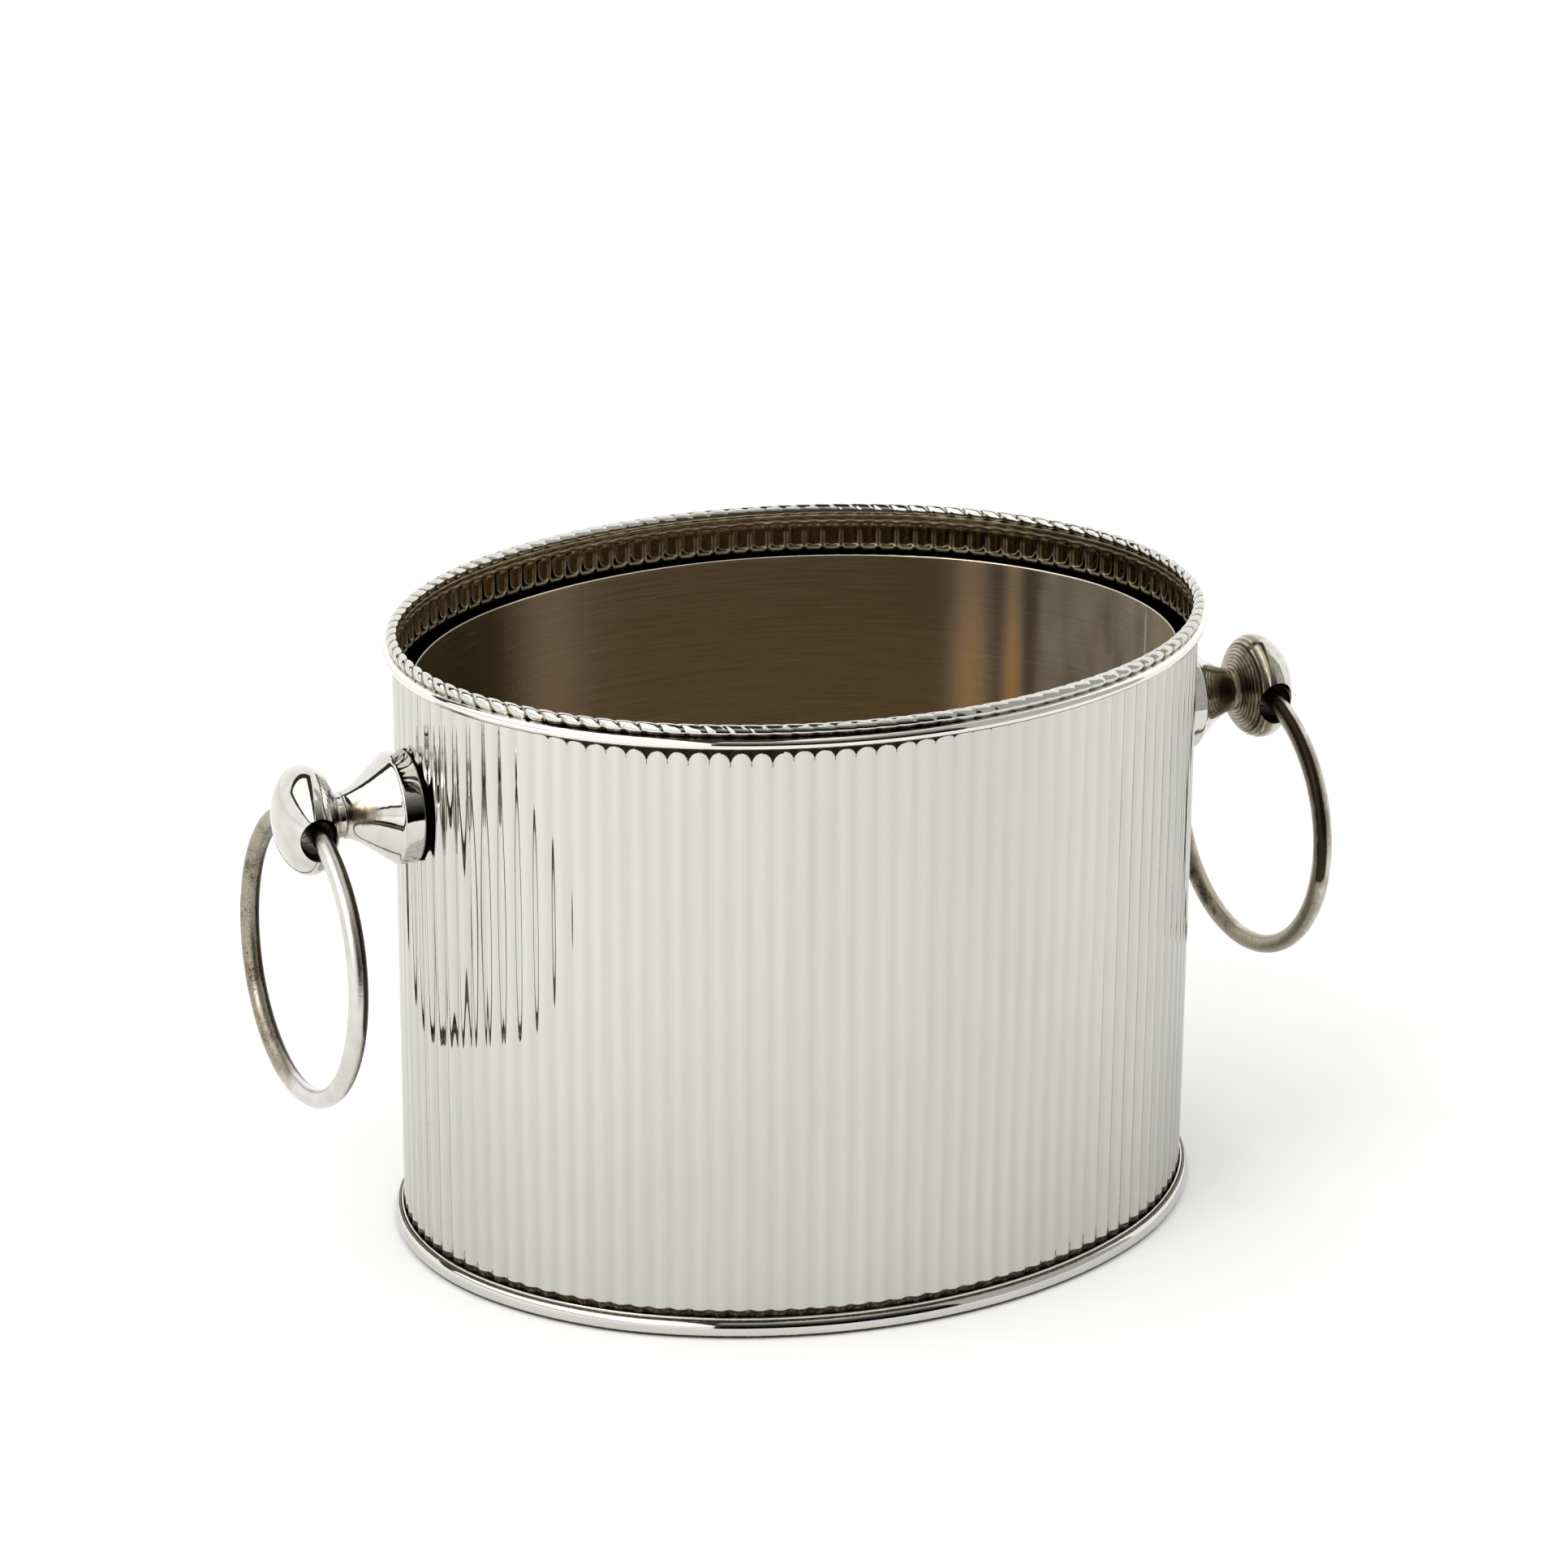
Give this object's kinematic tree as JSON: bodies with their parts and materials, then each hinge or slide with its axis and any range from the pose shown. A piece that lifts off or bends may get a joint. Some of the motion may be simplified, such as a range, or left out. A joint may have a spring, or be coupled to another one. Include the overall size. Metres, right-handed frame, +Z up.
{
  "type": "champagne bucket",
  "caption": "Oval reeded champagne bucket with rolled rim, foot moulding, lift-out steel liner and a turned knob with a swinging wire ring at each end.",
  "frame": {"origin": "centre of the foot, on the surface that the bucket stands on", "axes": "+Z up; +X along the length, from the left handle to the right one; +Y from the front to the back"},
  "size_m": [0.3952, 0.2442, 0.228],
  "materials": {
    "shell_plate": "mirror-polished silver plate on reeded sheet",
    "moulding_plate": "mirror-polished silver plate",
    "handle_plate": "polished silver plate with grey-brown tarnish in the turned grooves",
    "ring_plate": "polished silver plate, worn and tarnished wire",
    "liner_steel": "brushed stainless sheet",
    "base_sheet": "plain plated sheet, satin",
    "rim_wire": "drawn wire, hidden in the roll",
    "fixing_brass": "machined brass",
    "pad_rubber": "black moulded rubber"
  },
  "bodies": {
    "bucket": {"outer_shell": "shell_plate", "rim_core_wire": "rim_wire", "rim_band": "moulding_plate", "base_moulding": "moulding_plate", "base_plate": "base_sheet", "left_pad": "pad_rubber", "right_pad": "pad_rubber", "front_pad": "pad_rubber", "back_pad": "pad_rubber", "left_stem": "handle_plate", "left_knob": "handle_plate", "left_stud": "fixing_brass", "left_washer": "fixing_brass", "left_nut": "fixing_brass", "right_stem": "handle_plate", "right_knob": "handle_plate", "right_stud": "fixing_brass", "right_washer": "fixing_brass", "right_nut": "fixing_brass"},
    "liner": {"liner_wall": "liner_steel", "liner_floor": "liner_steel"},
    "left_ring": {"left_ring": "ring_plate"},
    "right_ring": {"right_ring": "ring_plate"}
  },
  "joints": [
    {"name": "liner_lift", "type": "slide", "parent": "bucket", "child": "liner", "axis": [0, 0, 1], "range_m": [0, 0.24]},
    {"name": "left_ring_swing", "type": "hinge", "parent": "bucket", "child": "left_ring", "pos_m": [-0.1863, 0, 0.1716], "axis": [0, 1, 0], "range_deg": [-19, 200]},
    {"name": "right_ring_swing", "type": "hinge", "parent": "bucket", "child": "right_ring", "pos_m": [0.1863, 0, 0.1716], "axis": [0, -1, 0], "range_deg": [-19, 200]}
  ]
}
